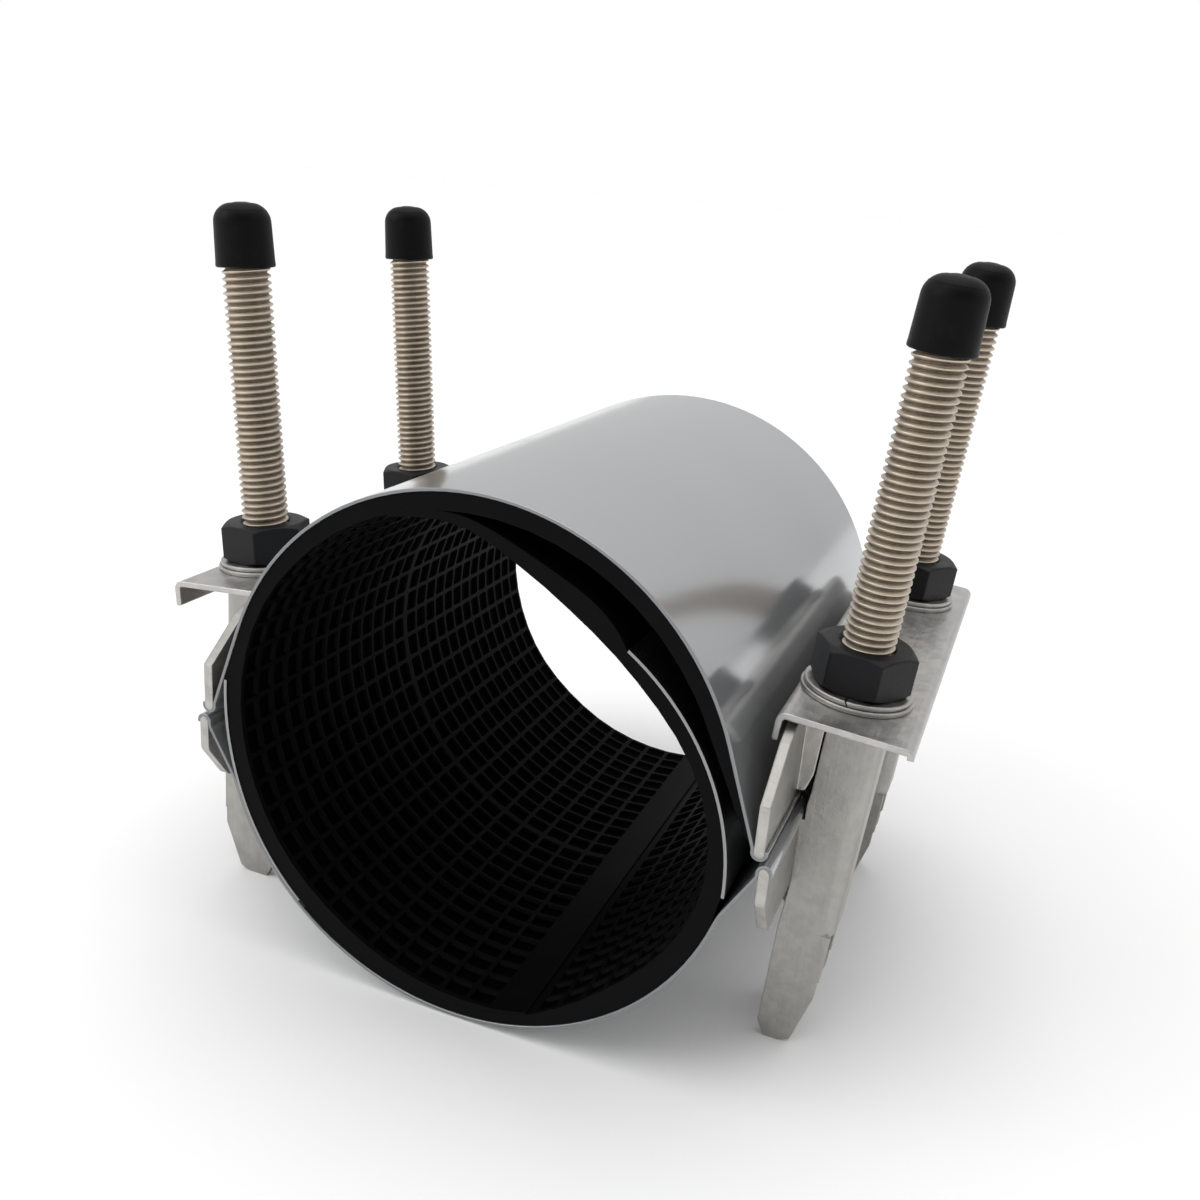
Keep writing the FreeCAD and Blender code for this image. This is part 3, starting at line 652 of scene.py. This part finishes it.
def waffle_mat(node, first, last, start_margin, end_margin, material):
    """Rubber mat with its moulded face: sunk cells between ribs, and a wider rib at mid-length.

    The face runs from one margin to the other along the side of the section that faces the bore.
    """
    points, near, length = section(node)
    inner, rest = inner_path(points, first, last)
    run = sum((b - a).length for a, b in zip(inner, inner[1:]))
    cells = round((run - start_margin - end_margin) / CELL_ROUND)
    ledge, plain = 0.2 * MM, 4
    gaps = [start_margin / plain] * plain
    gaps += [ledge, CELL_ROUND - 2 * ledge, ledge] * cells
    gaps += [end_margin / plain] * plain
    faced = resampled(inner, gaps)
    loop = faced + rest[::-1][1:-1] if (rest[0] - faced[0]).length < 1e-6 else faced + rest[1:-1]
    band, rim = 1.5 * MM, 0.9 * MM
    cell = (length - 2 * rim - band) / CELL_ROWS
    half = [cell] * (CELL_ROWS // 2)
    steps = [rim] + half + [band] + half + [rim]
    mat = drawn(f"{node}_moulded", loop, near, steps)
    starts = [near]
    for step in steps:
        starts.append(starts[-1] + step)
    rows_wanted = [k for k, step in enumerate(steps) if step == cell]
    middles = [(starts[k] + starts[k + 1]) / 2 for k in rows_wanted]
    first_cell = plain + 1
    sides = [(faced[k] + faced[k + 1]) / 2 for k in range(first_cell, first_cell + 3 * cells, 3)]
    edit("DESELECT", "FACE")
    shape = bmesh.from_edit_mesh(mat.data)
    for face in shape.faces:
        middle = face.calc_center_median()
        flat = Vector((middle.x, middle.z))
        in_row = min(abs(middle.y - m) for m in middles) < 1e-5
        face.select_set(in_row and min((flat - s).length for s in sides) < 1e-5)
    bmesh.update_edit_mesh(mat.data)
    corner_segments = 2
    cell_sides = 4 * (corner_segments + 1)
    bpy.ops.mesh.inset(thickness=RIB / 2, depth=0, use_individual=True)
    bpy.ops.mesh.bevel(offset=0.85 * MM, segments=corner_segments, affect="VERTICES")
    bpy.ops.mesh.select_all(action="DESELECT")
    bpy.ops.mesh.select_face_by_sides(number=cell_sides, type="EQUAL")
    bpy.ops.mesh.inset(thickness=0.3 * MM, depth=-CELL_DEPTH, use_individual=True)
    leave()
    # The cell floors, marked for their painted shade.
    floor_shade_mask = mat.data.attributes.new("cell_floor", "FLOAT", "FACE")
    floor_shade_mask.data.foreach_set("value", [float(face.select) for face in mat.data.polygons])
    take(mat)
    bpy.ops.object.shade_smooth_by_angle(angle=math.radians(25))
    return finished(mat, material, body_of_node[node], [node])


# Finishes, then every piece

satin = satin_sheet("satin_stainless_sheet", (0.455, 0.463, 0.473), 0.10, 0.000006, 0.3)
bright_sheet = satin_sheet("bright_bridge_sheet", (0.62, 0.62, 0.62), 0.2, 0.00001)
lug_steel = plate_steel("lug_plate_steel", (0.35, 0.341, 0.322), (0.05, 0.05, 1.0), sheared=0.3)
channel_steel = plate_steel("bracket_channel_steel", (0.395, 0.385, 0.363), (1.0, 1.0, 0.04))
bar_steel = plate_steel("brushed_bar_steel", (0.53, 0.518, 0.5), (1.0, 0.03, 1.0), 0.3)
washer_steel = plate_steel("washer_steel", (0.44, 0.43, 0.41), (0.6, 0.6, 0.6), 0.26)
thread = thread_metal()
coating = black_coating()
vinyl = cap_vinyl()
rubber = mat_rubber()

for node in ("upper_shell", "lower_shell"):
    sheet_piece(node, satin, True)
for node in ("bridge_plate_right", "bridge_plate_left"):
    sheet_piece(node, bright_sheet)
for side in SIDES:
    dressed(f"upper_lug_{side}", lug_steel, "lug")
    dressed(f"lower_lug_{side}", lug_steel, "lug")
    dressed(f"receiver_bar_{side}", bar_steel, "bar")
    for end in ENDS:
        dressed(f"stud_bracket_{side}_{end}", channel_steel, "bracket")

# Each mat's moulded face: where it starts and ends, by angle and radius, and its plain margins
waffle_mat("lower_gasket", direction(289.5, 82.4 * MM), direction(110.0, 80.1 * MM),
           1.6 * MM, 8 * MM, rubber)
waffle_mat("upper_gasket", direction(27.0, 80.9 * MM), direction(288.5, 81.9 * MM),
           6 * MM, 12 * MM, rubber)

patterns = [
    (stud_pattern(), "stud", thread, "stud"),
    (nut_pattern(), "nut", coating, "nut"),
    (flat_washer_pattern(), "flat_washer", washer_steel, "washer"),
    (split_washer_pattern(), "top_washer", washer_steel, "washer"),
    (cap_pattern(), "stud_cap", vinyl, "cap"),
]
for pattern, kind, material, slot in patterns:
    for side in SIDES:
        for end in ENDS:
            place = f"{side}_{end}"
            node = f"{kind}_{place}"
            turn = 0.0
            if kind == "nut":
                turn = NUT_TURN[place] if side == "right" else 180 - NUT_TURN[place]
            if kind == "top_washer":
                turn = SPLIT_TURN[place]
            piece = on_stud(pattern, f"{node}_piece", side, end, turn)
            finished(piece, material, body_of_node[node], [node])
    bpy.data.objects.remove(pattern, do_unlink=True)

# Floor, light and camera

let_go()
bpy.ops.mesh.primitive_plane_add(size=60.0, location=(0, 0, FLOOR_Z))
floor = bpy.context.object
floor.name = "floor"
floor.data.materials.append(pale_floor())


def studio_world():
    """Soft light all round, brighter from above, dim where the photographer stood.

    The camera sees it as a white backdrop.
    """
    world = bpy.data.worlds.new("studio")
    bpy.context.scene.world = world
    world.use_nodes = True
    tree = world.node_tree

    def node(kind, settings=None, sockets=None):
        made = tree.nodes.new(kind)
        for key, value in (settings or {}).items():
            setattr(made, key, value)
        for key, value in (sockets or {}).items():
            if isinstance(value, bpy.types.NodeSocket):
                tree.links.new(value, made.inputs[key])
            else:
                made.inputs[key].default_value = value
        return made.outputs

    where = node("ShaderNodeTexCoord")["Generated"]
    height = node("ShaderNodeSeparateXYZ", None, {0: where})["Z"]
    tone = node("ShaderNodeMapRange", None, {0: height, 1: 0.0, 2: 1.0, 3: 0.66, 4: 0.96})
    dim_way = (0.461, -0.612, 0.643)
    toward = node("ShaderNodeVectorMath", {"operation": "DOT_PRODUCT"}, {0: where, 1: dim_way})
    dim = node("ShaderNodeMapRange", {"interpolation_type": "SMOOTHSTEP"},
               {0: toward["Value"], 1: 0.74, 2: 0.97, 3: 1.0, 4: 0.3})
    light = node("ShaderNodeMath", {"operation": "MULTIPLY"}, {0: tone[0], 1: dim[0]})
    to_camera = node("ShaderNodeLightPath")["Is Camera Ray"]
    strength = node("ShaderNodeMix", None, {0: to_camera, 2: light[0], 3: 1.0})
    background = tree.nodes["Background"]
    background.inputs["Color"].default_value = (1.0, 1.0, 1.0, 1)
    tree.links.new(strength[0], background.inputs["Strength"])


studio_world()


def soft_light(name, place, aim, size, power):
    """Rectangular area light at a place, turned to its aim."""
    data = bpy.data.lights.new(name, "AREA")
    data.shape = "RECTANGLE"
    data.size, data.size_y = size
    data.energy = power
    light = bpy.data.objects.new(name, data)
    bpy.context.collection.objects.link(light)
    light.location = place
    light.rotation_mode = "QUATERNION"
    light.rotation_quaternion = (Vector(aim) - Vector(place)).to_track_quat("-Z", "Y")


overhead = bpy.data.lights.new("overhead_diffuser", "SUN")
overhead.energy = 1.05
overhead.angle = math.radians(60)
bpy.context.collection.objects.link(bpy.data.objects.new("overhead_diffuser", overhead))
soft_light("left_softbox", (-1.4, -1.0, 1.1), (0, 0, 0.0), (1.2, 1.2), 9.0)


def photo_camera():
    """Camera at the photograph's place and angle."""
    place = (0.1458, -0.3906, 0.1706)
    azimuth, drop, roll = math.radians(20.23), math.radians(19.22), math.radians(4.81)
    lens, sensor = 35.775, 36.0
    flat = Vector((-math.sin(azimuth), math.cos(azimuth), 0))
    ahead = flat * math.cos(drop) - Vector((0, 0, math.sin(drop)))
    level = Vector((math.cos(azimuth), math.sin(azimuth), 0))
    above = level.cross(ahead)
    right = level * math.cos(roll) + above * math.sin(roll)
    up = above * math.cos(roll) - level * math.sin(roll)
    data = bpy.data.cameras.new("camera")
    data.lens = lens
    data.sensor_width = sensor
    camera = bpy.data.objects.new("camera", data)
    bpy.context.collection.objects.link(camera)
    turn = Matrix((right, up, -ahead)).transposed().to_4x4()
    camera.matrix_world = Matrix.Translation(place) @ turn
    bpy.context.scene.camera = camera


photo_camera()
bpy.context.scene.view_settings.view_transform = "Standard"
